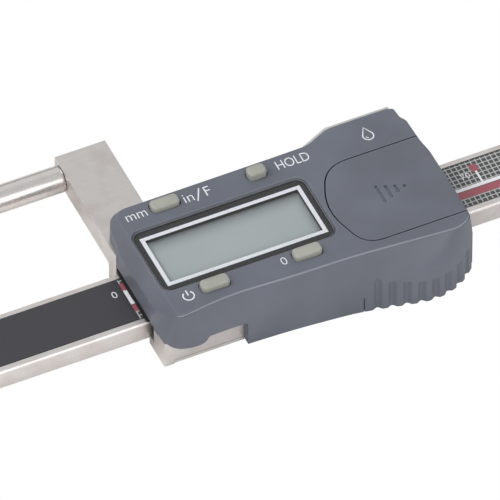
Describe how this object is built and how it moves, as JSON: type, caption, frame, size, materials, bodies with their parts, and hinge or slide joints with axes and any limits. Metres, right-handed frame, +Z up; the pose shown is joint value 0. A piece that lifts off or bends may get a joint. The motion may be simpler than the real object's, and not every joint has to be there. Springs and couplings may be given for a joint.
{
  "type": "digital caliper",
  "caption": "Digital caliper whose fixed jaw and slider carry square arms with opposed round measuring rods, with an LCD housing on a steel beam.",
  "frame": {"origin": "on the fixed jaw's flat underside, at the jaw's centre along the beam, on the beam's centreline", "axes": "+X along the beam from the fixed jaw to the free end, +Y from the beam to the ends of the arms, +Z up through the display"},
  "size_m": [0.3172, 0.0543, 0.0154],
  "materials": {
    "ground_steel": "satin ground hardened steel",
    "dark_screws": "blackened",
    "housing_plastic": "fine satin texture, slate grey",
    "button_plastic": "satin, grey green",
    "black_rubber": "matte",
    "inner_plastic": "matte",
    "scale_film": "printed film, semi gloss",
    "circuit_board": "solder mask",
    "display_grey": "grey green liquid crystal panel",
    "display_window": "clear, dark printed border",
    "spring_brass": "plain",
    "cell_steel": "nickel plated"
  },
  "bodies": {
    "beam_assembly": {"beam": "ground_steel", "scale_board": "circuit_board", "scale_film": "scale_film", "fixed_jaw": "ground_steel", "fixed_measuring_rod": "ground_steel", "fixed_rod_grub_screw": "dark_screws", "fixed_jaw_screw_1": "dark_screws", "fixed_jaw_screw_2": "dark_screws", "end_stop_plate": "ground_steel", "end_stop_screw_1": "dark_screws", "end_stop_screw_2": "dark_screws"},
    "slider": {"slider_frame": "ground_steel", "moving_measuring_rod": "ground_steel", "moving_rod_grub_screw": "dark_screws", "gib_strip": "spring_brass", "gib_screw_1": "dark_screws", "gib_screw_2": "dark_screws", "lock_pad": "spring_brass", "back_plate": "ground_steel", "back_plate_screw_1": "dark_screws", "back_plate_screw_2": "dark_screws", "back_plate_screw_3": "dark_screws", "back_plate_screw_4": "dark_screws", "case_screw_1": "dark_screws", "case_screw_2": "dark_screws", "case_screw_3": "dark_screws", "case_screw_4": "dark_screws", "front_wiper": "black_rubber", "rear_wiper": "black_rubber", "housing": "housing_plastic", "data_connector": "inner_plastic", "display_window": "display_window", "window_gasket": "black_rubber", "lcd_panel": "display_grey", "lcd_holder": "inner_plastic", "zebra_strip": "black_rubber", "circuit_board": "circuit_board", "mm_in_contact_dome": "cell_steel", "hold_contact_dome": "cell_steel", "power_contact_dome": "cell_steel", "zero_contact_dome": "cell_steel", "board_carrier": "inner_plastic", "board_connector": "inner_plastic", "pickup_board": "circuit_board", "processor_chip": "inner_plastic", "coin_cell": "cell_steel", "battery_contact_negative": "spring_brass", "battery_contact_positive": "spring_brass"},
    "lock_screw": {"lock_screw": "ground_steel"},
    "battery_cover": {"battery_cover": "housing_plastic"},
    "data_port_cover": {"data_port_cover": "housing_plastic"},
    "mm_in_button": {"mm_in_button": "button_plastic"},
    "hold_button": {"hold_button": "button_plastic"},
    "power_button": {"power_button": "button_plastic"},
    "zero_button": {"zero_button": "button_plastic"}
  },
  "joints": [
    {"name": "slider_travel", "type": "slide", "parent": "beam_assembly", "child": "slider", "axis": [1, 0, 0], "range_m": [-0.00095, 0.149]},
    {"name": "lock_screw_turn", "type": "hinge", "parent": "slider", "child": "lock_screw", "pos_m": [0.109, 0.012, 0.0032], "axis": [0, 1, 0], "range_deg": [-90, 270]},
    {"name": "battery_cover_slide", "type": "slide", "parent": "slider", "child": "battery_cover", "axis": [1, 0, 0], "range_m": [0, 0.024]},
    {"name": "data_port_cover_slide", "type": "slide", "parent": "slider", "child": "data_port_cover", "axis": [1, 0, 0], "range_m": [0, 0.01]},
    {"name": "mm_in_button_press", "type": "slide", "parent": "slider", "child": "mm_in_button", "axis": [0, 0, -1], "range_m": [0, 0.0006]},
    {"name": "hold_button_press", "type": "slide", "parent": "slider", "child": "hold_button", "axis": [0, 0, -1], "range_m": [0, 0.0006]},
    {"name": "power_button_press", "type": "slide", "parent": "slider", "child": "power_button", "axis": [0, 0, -1], "range_m": [0, 0.0006]},
    {"name": "zero_button_press", "type": "slide", "parent": "slider", "child": "zero_button", "axis": [0, 0, -1], "range_m": [0, 0.0006]}
  ]
}
